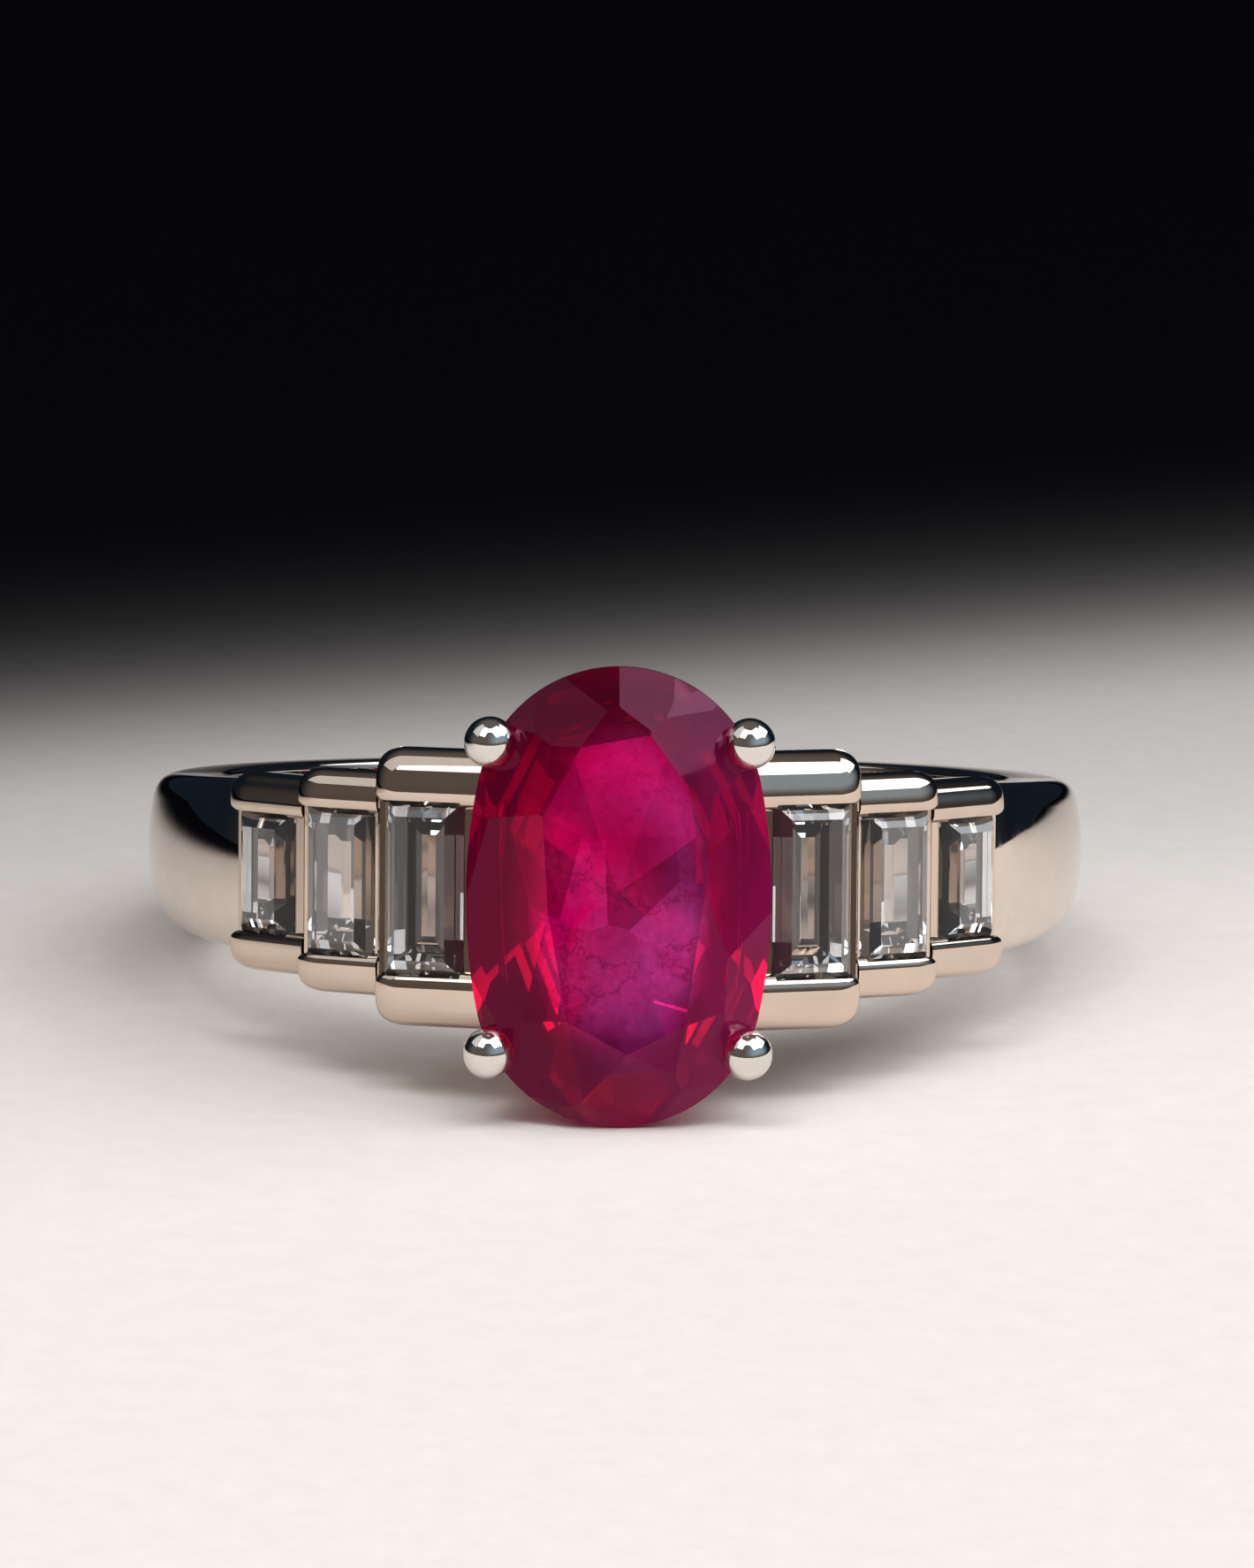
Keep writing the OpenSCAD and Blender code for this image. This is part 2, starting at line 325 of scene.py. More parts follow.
def blend(tree, factor, a, b):
    """Mixes two colours by a factor; each is a colour or another node's output."""
    node = tree.nodes.new("ShaderNodeMix")
    node.data_type = "RGBA"
    tree.links.new(factor, node.inputs["Factor"])
    for name, colour in (("A", a), ("B", b)):
        if isinstance(colour, tuple):
            node.inputs[name].default_value = (*colour, 1.0)
        else:
            tree.links.new(colour, node.inputs[name])
    return node.outputs["Result"]


def bump(tree, surface, height, strength, depth):
    node = tree.nodes.new("ShaderNodeBump")
    node.inputs["Strength"].default_value = strength
    node.inputs["Distance"].default_value = depth * MM
    tree.links.new(height, node.inputs["Height"])
    tree.links.new(node.outputs["Normal"], surface.inputs["Normal"])


def polished_metal(name, tint, wear):
    """Mirror-polished white metal with faint tarnish clouds and fine hairlines."""
    material, tree, surface = node_material(name)
    surface.inputs["Metallic"].default_value = 1.0
    darker = [c * 0.93 for c in tint]
    clouds = noise(tree, 0.9, 4.0)
    tree.links.new(ramp(tree, clouds, 0.35, 0.65, darker, tint), surface.inputs["Base Color"])
    hairlines = noise(tree, 6.0, 5.0, 0.6, (1.0, 1.0, 0.15))
    polish = ramp(tree, hairlines, 0.4, 0.75, grey(0.03), grey(wear))
    tree.links.new(polish, surface.inputs["Roughness"])
    bump(tree, surface, noise(tree, 1.6, 2.0), 0.25, 0.004)
    return material


def clear_stone():
    material, tree, surface = node_material("clear_stone")
    surface.inputs["Transmission Weight"].default_value = 0.97
    surface.inputs["IOR"].default_value = 2.2
    haze = noise(tree, 2.5, 3.0)
    water = ramp(tree, haze, 0.4, 0.7, (0.91, 0.91, 0.92), (0.86, 0.87, 0.88))
    tree.links.new(water, surface.inputs["Base Color"])
    tree.links.new(ramp(tree, haze, 0.5, 0.8, grey(0.0), grey(0.03)), surface.inputs["Roughness"])
    return material


def stone_place(tree):
    """Millimetres from the middle of the ruby's girdle: to the right, inwards, along the finger."""
    place = tree.nodes.new("ShaderNodeTexCoord")
    mapping = tree.nodes.new("ShaderNodeMapping")
    mapping.vector_type = "TEXTURE"
    mapping.inputs["Location"].default_value = RUBY_CENTRE
    mapping.inputs["Rotation"].default_value = LAID.to_euler()
    mapping.inputs["Scale"].default_value = (MM, MM, MM)
    tree.links.new(place.outputs["Object"], mapping.inputs["Vector"])
    split = tree.nodes.new("ShaderNodeSeparateXYZ")
    tree.links.new(mapping.outputs["Vector"], split.inputs["Vector"])
    return mapping.outputs["Vector"], split.outputs["X"], split.outputs["Z"]


def red_stone():
    """Crimson glass with painted light and shade: the crown painted darker towards its upper end,
    the table painted lighter with a painted glow, a slanting band of painted shade across the
    table, and a mauve veil.
    """
    material, tree, surface = node_material("red_stone")
    surface.inputs["IOR"].default_value = 1.76
    surface.inputs["Specular IOR Level"].default_value = 0.2
    surface.inputs["Specular Tint"].default_value = (0.36, 0.08, 0.19, 1.0)
    place, x, z = stone_place(tree)
    silk = noise(tree, 0.55, 5.0, 0.6)
    zone = math_node(tree, "MULTIPLY_ADD", x, 0.14, math_node(tree, "MULTIPLY_ADD", z, -0.03, silk))
    # An oval over the table: inside it the colour is painted lighter (painted light) and the
    # painted glow shows.
    half_wide, half_long = 1.9, 3.7
    across = math_node(tree, "DIVIDE", x, half_wide)
    along_z = math_node(tree, "DIVIDE", z, half_long)
    squares = math_node(tree, "POWER", across, 2.0)
    squares = math_node(tree, "MULTIPLY_ADD", along_z, along_z, squares)
    inside = ramp(tree, squares, 0.60, 1.0, grey(1.0), grey(0.0))
    # A slanting band of painted shade across the table: darker in the colour (clear) and dimmer in
    # the painted glow (bright).
    slant = math_node(tree, "MULTIPLY_ADD", x, 0.67, math_node(tree, "MULTIPLY_ADD", silk, 0.8, z))
    stops = ((-5, 1.0), (0.8, 1.0), (1.5, 0.3), (2.1, 0.3), (2.9, 0.9), (5, 1.0))
    clear = levels(tree, slant, stops)
    stops = ((-5, 1.0), (0.8, 1.0), (1.5, 0.2), (2.4, 0.2), (3.2, 0.45), (5, 0.45))
    bright = levels(tree, slant, stops)
    grain = ramp(tree, noise(tree, 6.0, 5.0, 0.7), 0.35, 0.65, grey(0.70), grey(1.0))
    drift = math_node(tree, "SUBTRACT", noise(tree, 0.8, 5.0, 0.6), 0.5)
    drift = math_node(tree, "ABSOLUTE", drift)
    feather = ramp(tree, drift, 0.002, 0.022, grey(0.5), grey(1.0))
    marks = math_node(tree, "MULTIPLY", grain, feather)
    # The table's colour, painted light: lighter magenta off the slanting band, a darker wine on it,
    # broken by the grain and marks.
    magenta = ramp(tree, zone, 0.30, 0.75, (0.90, 0.004, 0.26), (0.90, 0.05, 0.56))
    table = blend(tree, math_node(tree, "MULTIPLY", clear, marks), (0.50, 0.003, 0.20), magenta)
    # The crown's colour, painted darker towards the stone's upper end: painted shade.
    top = math_node(tree, "MULTIPLY_ADD", z, 0.1, 0.5)
    crown = ramp(tree, top, 0.79, 0.87, (0.64, 0.001, 0.16), (0.16, 0.0, 0.012))
    tree.links.new(blend(tree, inside, crown, table), surface.inputs["Base Color"])
    veil = ramp(tree, zone, 0.50, 0.90, grey(0.98), grey(0.84))
    tree.links.new(veil, surface.inputs["Transmission Weight"])
    dust = noise(tree, 1.5, 6.0, 0.7)
    tree.links.new(ramp(tree, dust, 0.5, 0.8, grey(0.01), grey(0.04)), surface.inputs["Roughness"])
    # Painted light: an emission glow in patches over the table, dimmed on the slanting band, faded
    # out towards the lower tip and by the marks, with a faint glow all over the stone.
    patches = tree.nodes.new("ShaderNodeTexVoronoi")
    patches.inputs["Scale"].default_value = 0.7
    tree.links.new(place, patches.inputs["Vector"])
    painted_glow = ramp(tree, patches.outputs["Color"], 0.2, 0.8, grey(0.10), grey(0.42))
    tip = eased(tree, z, -3.2, -1.6)
    lit = painted_glow
    for share in (bright, tip, marks):
        lit = math_node(tree, "MULTIPLY", lit, share)
    dimmest = 0.035
    strength = math_node(tree, "MULTIPLY_ADD", lit, inside, dimmest)
    tree.links.new(strength, surface.inputs["Emission Strength"])
    # The colour of the painted glow, from red to magenta across the stone.
    painted_glow_colour = ramp(tree, zone, 0.30, 0.75, (0.80, 0.0, 0.20), (0.64, 0.08, 0.40))
    tree.links.new(painted_glow_colour, surface.inputs["Emission Color"])
    absorb = tree.nodes.new("ShaderNodeVolumeAbsorption")
    absorb.inputs["Color"].default_value = (0.80, 0.0, 0.45, 1.0)
    absorb.inputs["Density"].default_value = 750.0
    tree.links.new(absorb.outputs["Volume"], tree.nodes["Material Output"].inputs["Volume"])
    return material


BAND_METAL = polished_metal("band_metal", (0.80, 0.70, 0.62), 0.11)
SETTING_METAL = polished_metal("setting_metal", (0.81, 0.76, 0.71), 0.07)
COLLET_METAL = polished_metal("collet_metal", (0.75, 0.61, 0.50), 0.08)
CLEAR = clear_stone()
RED = red_stone()

# ---- Band ----


def band_half(y):
    """Half width of the band at a height y across the finger."""
    for (y0, h0), (y1, h1) in zip(BAND_WIDTHS, BAND_WIDTHS[1:]):
        if y <= y1:
            return mix(h0, h1, (y - y0) / (y1 - y0))
    return BAND_WIDTHS[-1][1]


def arc(a, corner, b, steps):
    """A smooth turn from a to b inside their corner."""
    points = []
    for k in range(steps + 1):
        t = k / steps
        points.append(
            tuple(mix(mix(a[i], corner[i], t), mix(corner[i], b[i], t), t) for i in (0, 1))
        )
    return points


def dome(z):
    """How far out the band's domed surface is, at a distance from its middle line."""
    return BAND_R - DOME_R + math.sqrt(DOME_R**2 - z**2)


def band_ring(turn):
    """The band's cross-section at an angle from the front, in the ring's frame."""
    half = band_half(-BAND_MID * cosd(turn))
    soft, edge = BAND_SOFT, BORE_SOFT
    side = dome(half)
    outline = arc((side - soft, -half), (side, -half), (dome(half - soft), -half + soft), 8)
    steps = 26
    for k in range(1, steps):
        z = mix(-half + soft, half - soft, k / steps)
        outline.append((dome(z), z))
    outline += arc((dome(half - soft), half - soft), (side, half), (side - soft, half), 8)
    outline += arc((BORE_R + edge, half), (BORE_R, half), (BORE_R, half - edge), 5)
    for k in range(1, 8):
        outline.append((BORE_R, mix(half - edge, edge - half, k / 8)))
    outline += arc((BORE_R, edge - half), (BORE_R, -half), (BORE_R + edge, -half), 5)
    ring = []
    for r, z in outline:
        exact = band_half(-r * cosd(turn)) / half
        ring.append((r * sind(turn), -r * cosd(turn), z * exact))
    return ring


def window_half(i):
    """Half the length of the light window behind a baguette."""
    return STONE_L[i] / 2 - WINDOW_END


def plate(side):
    """A curved plate under the collets, pierced behind each baguette."""
    turns = [PLATE_FROM]
    gaps = {}
    for i, turn in enumerate(STEP_TURN):
        spread = math.degrees(WINDOW_W / 2 / PLATE_R)
        gaps[len(turns)] = window_half(i)
        turns += [turn - spread, turn + spread]
    turns.append(BAND_FROM + PLATE_LAP)
    fine = []
    hole = []
    for k in range(len(turns) - 1):
        parts = max(1, round(turns[k + 1] - turns[k]))
        for p in range(parts):
            fine.append(mix(turns[k], turns[k + 1], p / parts))
            hole.append(gaps.get(k, 0.0))
    fine.append(turns[-1])
    halves = (PLATE_HALF, *(window_half(i) for i in range(len(STEPS))))
    rows = sorted({sign * half for sign in (-1, 1) for half in halves})
    bm = bmesh.new()
    grid = {}
    for top, r in ((False, BORE_R + FLUSH), (True, PLATE_R - 0.02)):
        for a, turn in enumerate(fine):
            for b, z in enumerate(rows):
                grid[top, a, b] = bm.verts.new((side * r * sind(turn), -r * cosd(turn), z))
    kept = {
        (a, b)
        for a in range(len(fine) - 1)
        for b in range(len(rows) - 1)
        if max(abs(rows[b]), abs(rows[b + 1])) > hole[a] + 1e-6
    }
    for a, b in kept:
        corners = ((a, b), (a + 1, b), (a + 1, b + 1), (a, b + 1))
        for top in (False, True):
            bm.faces.new([grid[top, m, n] for m, n in corners])
        sides = {
            (a - 1, b): ((a, b), (a, b + 1)),
            (a + 1, b): ((a + 1, b), (a + 1, b + 1)),
            (a, b - 1): ((a, b), (a + 1, b)),
            (a, b + 1): ((a, b + 1), (a + 1, b + 1)),
        }
        for neighbour, (p, q) in sides.items():
            if neighbour not in kept:
                bm.faces.new([grid[False, *p], grid[False, *q], grid[True, *q], grid[True, *p]])
    loose = [v for v in bm.verts if not v.link_faces]
    bmesh.ops.delete(bm, geom=loose, context="VERTS")
    bmesh.ops.recalc_face_normals(bm, faces=bm.faces)
    return bm


def make_shank():
    """The finger band with the two shoulder plates joined on."""
    count = 220
    start = BAND_FROM - BAND_LAP
    band = shell([band_ring(mix(start, 360 - start, k / count)) for k in range(count + 1)])
    obj = thing("shank_fine", band)
    boolean(obj, [thing("plate", plate(side)) for side in (-1, 1)], "UNION")
    finished(obj, "shank", BAND_METAL, 35)


# ---- Stones ----


def ruby_end_c():
    """Distance from the ruby's middle to the centre of either end arc."""
    return RUBY_L / 2 - END_R


SIDE_GAP = RUBY_W / 2 - END_R
SIDE_C = (ruby_end_c() ** 2 - SIDE_GAP**2) / (2 * SIDE_GAP)
SIDE_R = RUBY_W / 2 + SIDE_C
JOIN = math.degrees(math.atan2(ruby_end_c(), SIDE_C))


def ruby_outline(offset, sides=14, ends=60):
    """The ruby's four-arc outline, grown or shrunk by an offset."""
    points = []
    end_c = ruby_end_c()
    for start, stop, count, centre, radius in (
        (-JOIN, JOIN, sides, (-SIDE_C, 0), SIDE_R),
        (JOIN, 180 - JOIN, ends, (0, end_c), END_R),
        (180 - JOIN, 180 + JOIN, sides, (SIDE_C, 0), SIDE_R),
        (180 + JOIN, 360 - JOIN, ends, (0, -end_c), END_R),
    ):
        for k in range(count):
            turn = mix(start, stop, k / count)
            out = radius + offset
            points.append(Vector((centre[0] + out * cosd(turn), centre[1] + out * sind(turn))))
    return points


def reach(turn):
    """How far out the ruby's outline reaches along a direction from its centre."""
    if abs(cosd(turn)) > cosd(JOIN):
        return SIDE_R - SIDE_C * abs(cosd(turn))
    return END_R + ruby_end_c() * abs(sind(turn))


def normal_turn(a):
    """Direction of the normal at an angle round an oval as wide and long as the ruby."""
    return math.degrees(math.atan2(RUBY_W / 2 * sind(a), RUBY_L / 2 * cosd(a)))


# The table's corners, as the stone is cut: width, length
TABLE = (
    (1.75, 0.25),
    (1.40, 2.35),
    (0.85, 3.45),
    (-0.80, 3.15),
    (-1.68, 1.50),
    (-1.45, -0.20),
    (-1.05, -2.45),
    (0.18, -3.12),
    (1.36, -2.53),
)


def along(p, turn):
    """How far a point is along a direction."""
    return p[0] * cosd(turn) + p[1] * sind(turn)


def oval_angle(p):
    """A point's angle once the ruby's oval is squeezed to a circle."""
    return math.degrees(math.atan2(p[1] / RUBY_L, p[0] / RUBY_W))


def ruby_facets():
    """Facets as (direction, distance out, height, slope, 1 above or -1 below the girdle)."""
    rim = GIRDLE_T / 2
    facets = []
    angles = [oval_angle(p) for p in TABLE]
    for k, p in enumerate(TABLE):
        q = TABLE[(k + 1) % len(TABLE)]
        turn = normal_turn(angles[k])
        run = reach(turn) - along(p, turn)
        facets.append((turn, reach(turn), rim, math.degrees(math.atan2(CROWN_H, run)), 1))
        across = math.degrees(math.atan2(p[0] - q[0], q[1] - p[1]))
        facets.append((across, along(p, across), rim + CROWN_H, STAR_SLOPE, 1))
        gap = (angles[(k + 1) % len(TABLE)] - angles[k]) % 360
        for share in (0.25, 0.75):
            turn = normal_turn(angles[k] + gap * share)
            facets.append((turn, reach(turn), rim, BREAK_SLOPE, 1))
    for k in range(8):
        turn = normal_turn(45 * k)
        slope = math.degrees(math.atan2(PAVILION_H - rim, reach(turn)))
        facets.append((turn, reach(turn), rim, slope, -1))
    for k in range(16):
        turn = normal_turn(11.25 + 22.5 * k)
        slope = math.degrees(math.atan2(PAVILION_H, reach(turn))) + LOWER_EXTRA
        facets.append((turn, reach(turn), rim, slope, -1))
    return facets


def ruby_shell(gap=0.0):
    """The cut ruby, in the ring's frame, grown by a gap."""
    top = GIRDLE_T / 2 + CROWN_H + gap
    bottom = -PAVILION_H - 0.1
    outline = ruby_outline(gap)
    bm = shell([[(p.x, p.y, z) for p in outline] for z in (bottom, top)])
    for turn, out, height, slope, up in ruby_facets():
        normal = Vector((cosd(turn) * sind(slope), sind(turn) * sind(slope), up * cosd(slope)))
        point = Vector(((out + gap) * cosd(turn), (out + gap) * sind(turn), up * height))
        keep_side(bm, point, normal)
    facing = Matrix(((1, 0, 0), (0, 0, -1), (0, 1, 0))).to_4x4()
    bmesh.ops.transform(bm, matrix=Matrix.Translation((0, -GIRDLE_H, 0)) @ facing, verts=bm.verts)
    bmesh.ops.recalc_face_normals(bm, faces=bm.faces)
    return bm


def at_step(i, x, height, z):
    """A point of a shoulder step: x away from the ruby, height above the finger axis."""
    c, s = cosd(STEP_TURN[i]), sind(STEP_TURN[i])
    return (x * c + height * s, x * s - height * c, z)


def step_heights(i):
    """Heights of a baguette's table and girdle above the finger axis."""
    top = STEP_FACE[i] - GIRDLE_DROP + STONE_CROWN
    return top, top - STONE_CROWN


def stone_steps(i, gap=0.0):
    """(inset, height) of each edge of a step cut, from its keel up."""
    top, girdle = step_heights(i)
    deep = STONE_PAVILION + gap
    return [
        (0.72, girdle - deep),
        (0.44, girdle - deep * 0.76),
        (0.19, girdle - deep * 0.42),
        (0.00, girdle - 0.06 - gap),
        (0.00, girdle + 0.02),
        (0.12, girdle + 0.16),
        (0.32, top),
    ]


def rectangle(i, half_x, half_z, height):
    """Four corners centred on a shoulder step, at a height above the finger axis."""
    corners = ((-1, -1), (1, -1), (1, 1), (-1, 1))
    return [at_step(i, sx * half_x, height, sz * half_z) for sx, sz in corners]


def baguette_shell(i):
    """A step-cut baguette, from its keel to its table."""
    rings = []
    for inset, height in stone_steps(i):
        rings.append(rectangle(i, STONE_W[i] / 2 - inset, STONE_L[i] / 2 - inset, height))
    return shell(rings)


def pocket_shell(i):
    """The seat that a baguette sits in, open above."""
    half_x = STONE_W[i] / 2 + SEAT_GAP
    half_z = STONE_L[i] / 2 + SEAT_GAP
    below_girdle = stone_steps(i, SEAT_GAP)[:4]
    rings = [rectangle(i, half_x - inset, half_z - inset, height) for inset, height in below_girdle]
    rings.append(rectangle(i, half_x, half_z, STEP_FACE[i] + 0.3))
    return shell(rings)


def window_shell(i):
    """The light window from the finger up into the seat."""
    heights = (BORE_R - 0.5, step_heights(i)[1] - 0.6)
    return shell([rectangle(i, WINDOW_W / 2, window_half(i), height) for height in heights])


# ---- Shoulders ----


def collet_ring(i, x0, x1, half_z, height, corner):
    """A collet's outline at a height: square by its neighbour, rounded on its outer corners."""
    points = []
    steps = 10
    for sz in (-1, 1):
        for k in range(steps + 1):
            turn = 90 * (k / steps if sz > 0 else k / steps - 1)
            x = x1 - corner + corner * cosd(turn)
            z = sz * (half_z - corner) + corner * sind(turn)
            points.append(at_step(i, x, height, z))
    points.append(at_step(i, x0, height, half_z))
    points.append(at_step(i, x0, height, -half_z))
    return points


def bar_section(i):
    """An end bar's outline as (distance in from the outer edge, height, lean of its normal)."""
    outer, crown, inner = (share * BAR_R[i] for share in (1.05, 2.63, 0.49))
    arcs = ((90, 14, outer, 9), (14, -2, crown, 4), (-2, -90, inner, 10))
    points = [(0.0, 0.0, 90.0)]
    inward, height = 0.0, 0.0
    for start, stop, radius, steps in arcs:
        for k in range(steps):
            a, b = mix(start, stop, k / steps), mix(start, stop, (k + 1) / steps)
            inward += radius * (sind(a) - sind(b))
            height += radius * (cosd(b) - cosd(a))
            points.append((inward, height, b))
    return points


def bar_rise(i):
    """Height of an end bar's crown above its outer shoulder."""
    return max(height for _, height, _ in bar_section(i))


def bar_shell(i, side, x0, x1):
    """A collet's end bar: crowned, steeper on its inner edge, with a softened outer end."""
    round_x = 0.58
    shrink = 0.46 * BAR_R[i]
    sunk = 0.2
    taper = 0.16
    half = STEP_H[i] / 2
    shoulder = STEP_FACE[i] - bar_rise(i)
    section = bar_section(i)
    end = x1 - SETBACK
    profile = [(x0 - 0.1, 0.0)]
    for k in range(13):
        turn = 90 * k / 12
        profile.append((end - round_x + round_x * sind(turn), shrink * (1 - cosd(turn))))
    rings = []
    for x, inset in profile:
        ring = []
        for inward, height, lean in section:
            z = half - inward - inset * sind(lean)
            ring.append(at_step(i, x, shoulder + height - inset * cosd(lean), side * z))
        width = section[-1][0]
        for z in (half - width + inset, half - inset - taper):
            ring.append(at_step(i, x, shoulder - sunk, side * z))
        rings.append(ring)
    return shell(rings)


def collet_parts(i):
    """A collet's body and its two end bars, longer than needed on the side towards the ruby."""
    x0, x1 = -STEP_W[i] / 2 - 0.6, STEP_W[i] / 2
    half = STEP_H[i] / 2
    bar_z = half - BAR_R[i]
    bar_y = STEP_FACE[i] - bar_rise(i)
    base = min(FOOT_HALF, half - FOOT_STEP)
    low = FOOT_FROM + BAR_R[i]
    foot_z = mix(base, half, (FOOT - low) / (bar_y - low))
    top = STEP_FACE[i] - GIRDLE_DROP
    body = shell(
        [
            collet_ring(i, x0, x1, foot_z, FOOT, CORNER_R),
            collet_ring(i, x0, x1, half - SETBACK, bar_y, CORNER_R),
            collet_ring(i, x0, x1, bar_z, top - EASE, CORNER_R * 0.5),
            collet_ring(i, x0, x1 - EASE, bar_z, top, CORNER_R * 0.5),
        ]
    )
    return [body, bar_shell(i, -1, x0, x1), bar_shell(i, 1, x0, x1)]


def collet_limits(i):
    """Planes that a collet ends on, as (point, outward normal)."""
    out = SPLITS[i]
    planes = [((0, 0, 0), (cosd(out), sind(out), 0))]
    if i == 0:
        planes.append(((INNER_X, 0, 0), (-1, 0, 0)))
    else:
        start = SPLITS[i - 1]
        planes.append(((0, 0, 0), (-cosd(start), -sind(start), 0)))
    return planes


def make_step(i, hand):
    """One shoulder step: a collet cut to its place, and the baguette that sits in it."""
    parts = collet_parts(i)
    stone = baguette_shell(i)
    cutters = [pocket_shell(i), window_shell(i)]
    cutters += [beyond(point, normal) for point, normal in collet_limits(i)]
    if hand == "left":
        for bm in (*parts, stone, *cutters):
            mirrored(bm)
    body, *bars = [thing("part", bm) for bm in parts]
    boolean(body, bars, "UNION")
    boolean(body, [thing("cutter", bm) for bm in cutters], "DIFFERENCE")
    finished(body, f"{hand}_{STEPS[i]}_collet", COLLET_METAL, 32)
    finished(thing("stone", stone), f"{hand}_{STEPS[i]}_baguette", CLEAR, 0)


# ---- Ruby setting ----


def claw_reach(depth):
    """How far a claw's axis is from the end arc's centre, at a depth below the girdle."""
    return END_R + BEAD_OUT - CLAW_LEAN * (depth + BEAD_RISE)


def claw_point(side, up, depth):
    """A point on a claw's axis, at a depth below the girdle."""
    out = claw_reach(depth)
    x = side * out * cosd(CLAW_TURN)
    z = up * (ruby_end_c() + out * sind(CLAW_TURN))
    return Vector((x, depth - GIRDLE_H, z))


def make_claw(side, up, node):
    """A round wire that ends in a bead, cut to fit the ruby's edge."""
    foot = claw_point(side, up, CLAW_FOOT)
    bead = claw_point(side, up, -BEAD_RISE)
    run = (bead - foot).length
    waist = math.sqrt(BEAD_R**2 - CLAW_R**2)
    neck = 0.14
    profile = [(0.0, 0.0), (CLAW_R - EASE, 0.0), (CLAW_R, EASE), (CLAW_R, run - waist - neck)]
    for a in range(-50, 91, 5):
        profile.append((BEAD_R * cosd(a), run + BEAD_R * sind(a)))
    turned = (bead - foot).to_track_quat("Z", "Y").to_matrix().to_4x4()
    place = Matrix.Translation(foot) @ turned
    count = 56
    rings = []
    for r, h in profile:
        ring = []
        for k in range(count):
            turn = 360 * k / count
            ring.append(place @ Vector((r * cosd(turn), r * sind(turn), h)))
        rings.append(ring)
    obj = thing(node, shell(rings))
    boolean(obj, [thing("seat", ruby_shell(SEAT_GAP))], "DIFFERENCE")
    finished(obj, node, SETTING_METAL, 30)


def make_rail(node, depth):
    """An oval wire with softened edges, parallel to the ruby's outline."""
    inset = END_R - claw_reach(depth) + CLAW_R - RAIL_BITE
    soft = 0.14
    t, h = RAIL_T / 2, RAIL_H / 2
    section = []
    for sx, sy in ((1, 1), (-1, 1), (-1, -1), (1, -1)):
        corner = (sx * t, sy * h)
        a, b = (sx * t, sy * (h - soft)), (sx * (t - soft), sy * h)
        start, stop = (a, b) if sx * sy > 0 else (b, a)
        section += arc(start, corner, stop, 5)
    strips = [ruby_outline(offset - inset, 24, 60) for offset, _ in section]
    rings = []
    for k in range(len(strips[0])):
        rings.append(
            [
                (strip[k].x, depth - GIRDLE_H - rise, strip[k].y)
                for strip, (_, rise) in zip(strips, section)
            ]
        )
    finished(thing(node, shell(rings, closed=True)), node, SETTING_METAL, 40)


make_shank()
for node, depth in RAILS.items():
    make_rail(node, depth)
for up, height in ((1, "upper"), (-1, "lower")):
    for side, hand in ((-1, "left"), (1, "right")):
        make_claw(side, up, f"claw_{height}_{hand}")
for i in range(len(STEPS)):
    for hand in ("left", "right"):
        make_step(i, hand)
finished(thing("ruby", ruby_shell()), "centre_ruby", RED, 0)

# ---- Floor ----

FLOOR_HALF = 0.22


def make_floor():
    """A pale table that falls away into the dark behind the ring, through a painted falloff of
    light in its colour.
    """
    bm = bmesh.new()
    bmesh.ops.create_grid(bm, x_segments=60, y_segments=60, size=FLOOR_HALF)
    obj = thing("floor", bm)
    material, tree, surface = node_material("floor_painted_falloff")
    place = tree.nodes.new("ShaderNodeTexCoord")
    split = tree.nodes.new("ShaderNodeSeparateXYZ")
    tree.links.new(place.outputs["Object"], split.inputs["Vector"])
    x, y = (math_node(tree, "DIVIDE", split.outputs[name], MM) for name in ("X", "Y"))
    # Painted shade: the cloth's colour is painted darker with distance behind the ring, along a
    # slanting measure, down to near black far back.
    depth = math_node(tree, "MULTIPLY_ADD", x, -0.4, y)
    near = ((-14, 0.96), (2, 0.80), (12, 0.62), (22, 0.54), (29, 0.20))
    far = ((35, 0.04), (42, 0.005), (50, 0.0), (60, 0.0))
    weave = noise(tree, 1.2, 6.0, 0.65)
    fibres = ramp(tree, weave, 0.3, 0.7, (0.83, 0.755, 0.70), (0.88, 0.80, 0.75))
    cloth_with_painted_falloff = blend(tree, levels(tree, depth, near + far), (0.002, 0.002, 0.003), fibres)
    tree.links.new(cloth_with_painted_falloff, surface.inputs["Base Color"])
    surface.inputs["Roughness"].default_value = 0.9
    surface.inputs["Specular IOR Level"].default_value = 0.0
    bump(tree, surface, noise(tree, 3.0, 6.0, 0.7), 0.5, 0.03)
    obj.data.materials.append(material)


make_floor()

# ---- Light ----


def bearing(azimuth, elevation):
    """A unit vector from the ring; azimuth 0 is in front, positive to the right."""
    level = cosd(elevation)
    return Vector((sind(azimuth) * level, -cosd(azimuth) * level, sind(elevation)))


def soft_box(name, azimuth, elevation, wide, high, radiance, colour):
    """A plain soft box aimed at the ring, so many degrees wide and high as seen from it."""
    distance = 0.6
    light = bpy.data.lights.new(name, "AREA")
    light.shape = "RECTANGLE"
    light.size = 2 * distance * math.tan(math.radians(wide / 2))
    light.size_y = 2 * distance * math.tan(math.radians(high / 2))
    light.energy = radiance * math.pi * light.size * light.size_y
    light.color = colour
    obj = bpy.data.objects.new(name, light)
    bpy.context.scene.collection.objects.link(obj)
    away = bearing(azimuth, elevation)
    obj.location = away * distance
    obj.rotation_euler = away.to_track_quat("Z", "Y").to_euler()


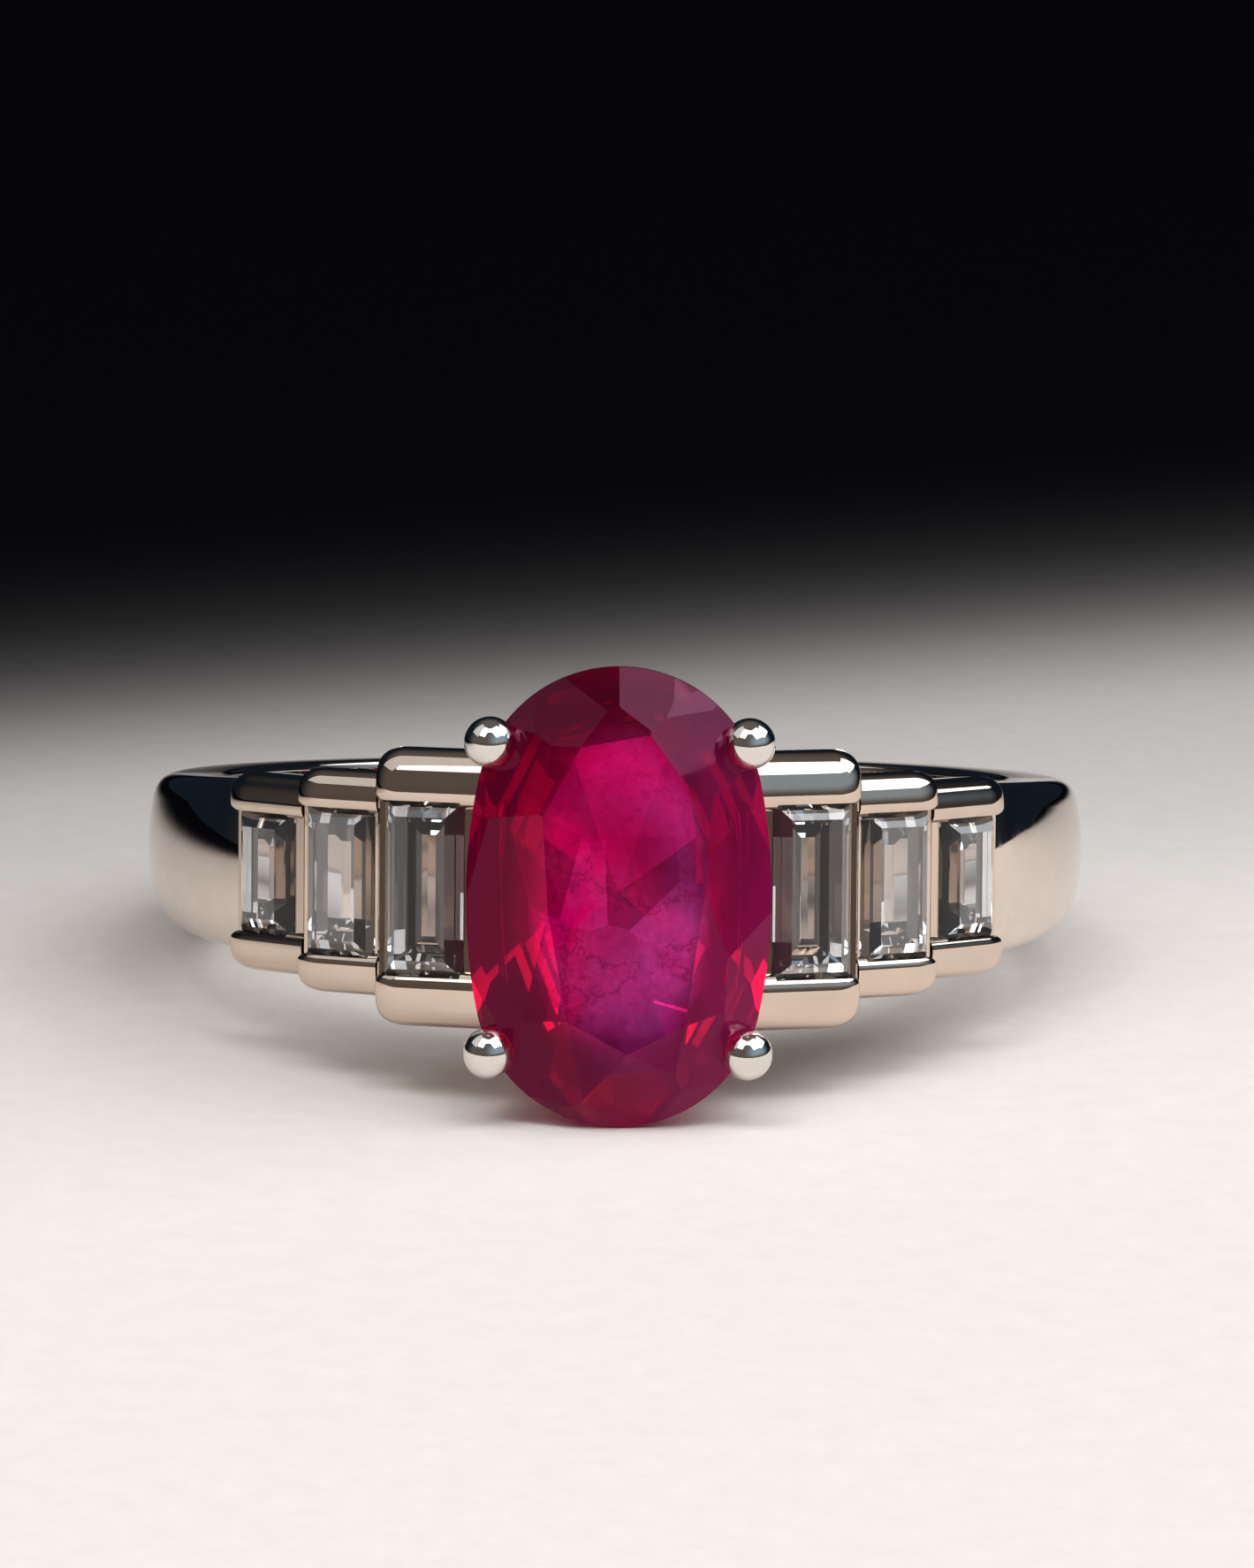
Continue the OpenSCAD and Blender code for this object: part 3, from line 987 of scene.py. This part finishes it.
soft_box("right_front_light", 55, 55, 40, 42, 2.8, (0.91, 0.96, 1.0))
soft_box("right_side_light", 98, 44, 42, 30, 2.3, (0.91, 0.96, 1.0))
soft_box("front_light", -3, 67, 40, 16, 5.2, (0.97, 0.98, 1.0))
soft_box("left_front_light", -42, 56, 26, 40, 2.6, (0.90, 0.96, 1.0))
soft_box("left_side_light", -85, 50, 40, 40, 0.65, (0.92, 0.97, 1.0))


def make_room():
    """A dim room: warm grey to the front left, blue grey to the front right, dark behind."""
    world = bpy.data.worlds.new("dim_room")
    bpy.context.scene.world = world
    world.use_nodes = True
    tree = world.node_tree
    place = tree.nodes.new("ShaderNodeTexCoord")
    split = tree.nodes.new("ShaderNodeSeparateXYZ")
    tree.links.new(place.outputs["Generated"], split.inputs["Vector"])
    x, y, z = (split.outputs[name] for name in "XYZ")
    walls = blend(tree, eased(tree, x, -0.3, 0.6), (0.12, 0.105, 0.095), (0.29, 0.39, 0.48))
    front = blend(tree, eased(tree, z, 0.02, 0.24), (0.11, 0.092, 0.082), walls)
    around = blend(tree, eased(tree, y, -0.35, 0.45), front, (0.007, 0.012, 0.020))
    room = blend(tree, eased(tree, z, 0.45, 0.95), around, (0.135, 0.125, 0.12))
    tree.links.new(room, tree.nodes["Background"].inputs["Color"])


make_room()

# ---- Camera ----

DISTANCE = 0.170
AZIMUTH = -0.5
ELEVATION = 14.0
ROLL = 0.5
LENS = 190.8
RISE = 2.31 * MM
ASIDE = 0.17 * MM


def make_camera():
    """The photograph's viewpoint: in front, a little above the ring, aimed past the ruby."""
    data = bpy.data.cameras.new("camera")
    data.sensor_fit = "VERTICAL"
    data.sensor_height = 36
    data.lens = LENS
    data.clip_start = 0.005
    data.clip_end = 10
    camera = bpy.data.objects.new("camera", data)
    bpy.context.scene.collection.objects.link(camera)
    back = bearing(AZIMUTH, ELEVATION)
    turned = back.to_track_quat("Z", "Y").to_matrix() @ Matrix.Rotation(math.radians(ROLL), 3, "Z")
    target = RUBY_CENTRE + turned @ Vector((ASIDE, RISE, 0))
    camera.matrix_world = Matrix.Translation(target + back * DISTANCE) @ turned.to_4x4()
    bpy.context.scene.camera = camera


make_camera()
bpy.context.scene.view_settings.view_transform = "Standard"
